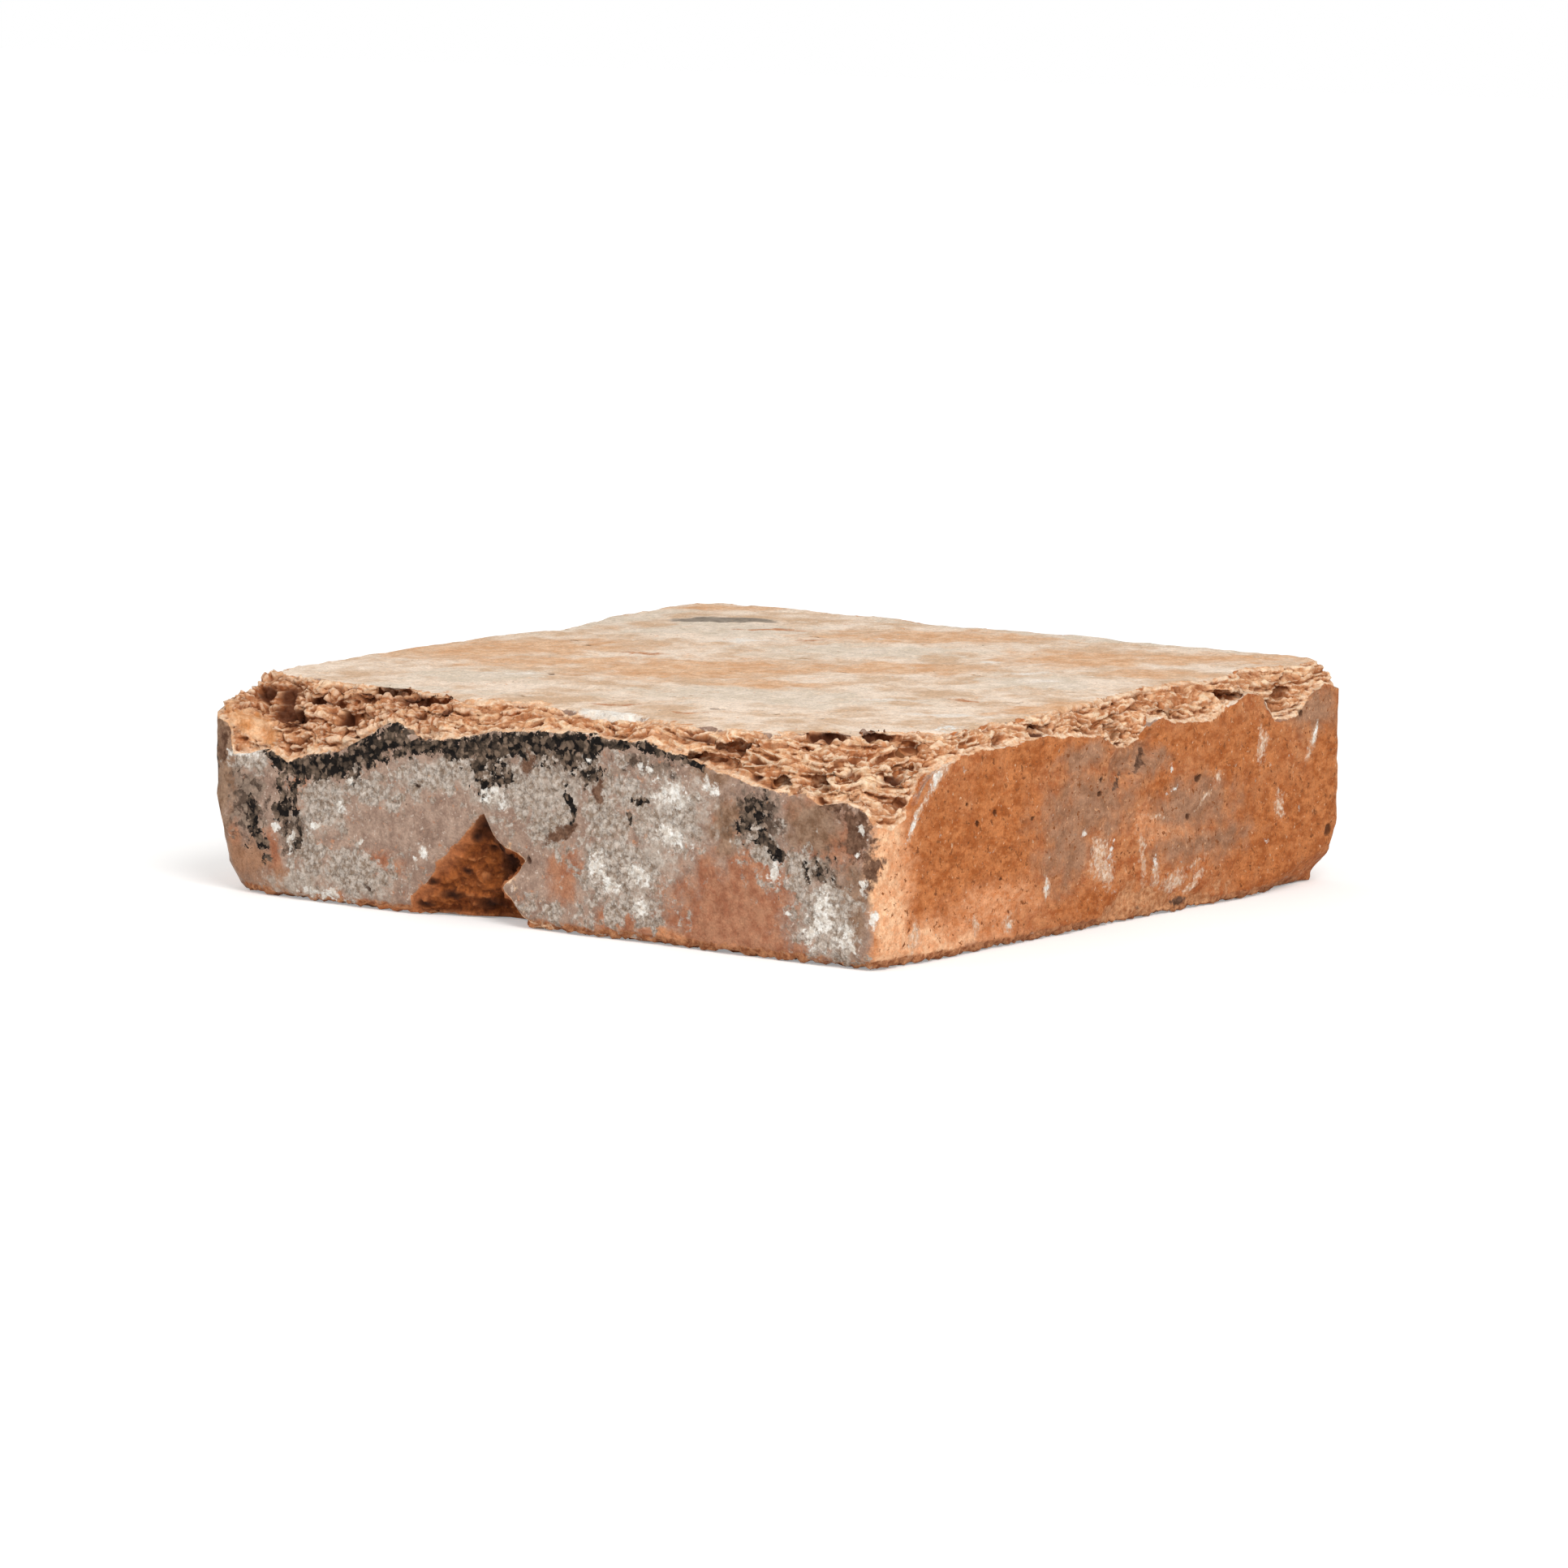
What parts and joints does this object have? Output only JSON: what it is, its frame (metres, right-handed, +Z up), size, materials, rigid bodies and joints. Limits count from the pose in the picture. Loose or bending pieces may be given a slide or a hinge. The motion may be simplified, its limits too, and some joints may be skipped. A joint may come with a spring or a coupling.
{
  "type": "square clay brick",
  "caption": "Old hand-moulded square clay brick of the kind laid as paving or hearth brick, with a flat bed, spalled top edges, a wedge-shaped chip at the foot of one face and worn corners.",
  "frame": {"origin": "Middle of the brick's footprint, on the plane of its flat bed face.", "axes": "+Z is up, out of the bed and through the brick's thickness. The front face, with the wedge-shaped chip at its foot, is -Y. The right face, with the orange skin, is +X. The plan is square, so no horizontal axis is longer by design."},
  "size_m": [0.2288, 0.2286, 0.0634],
  "materials": {
    "fired_clay": "matte"
  },
  "bodies": {
    "root": {"brick": "fired_clay"}
  },
  "joints": []
}
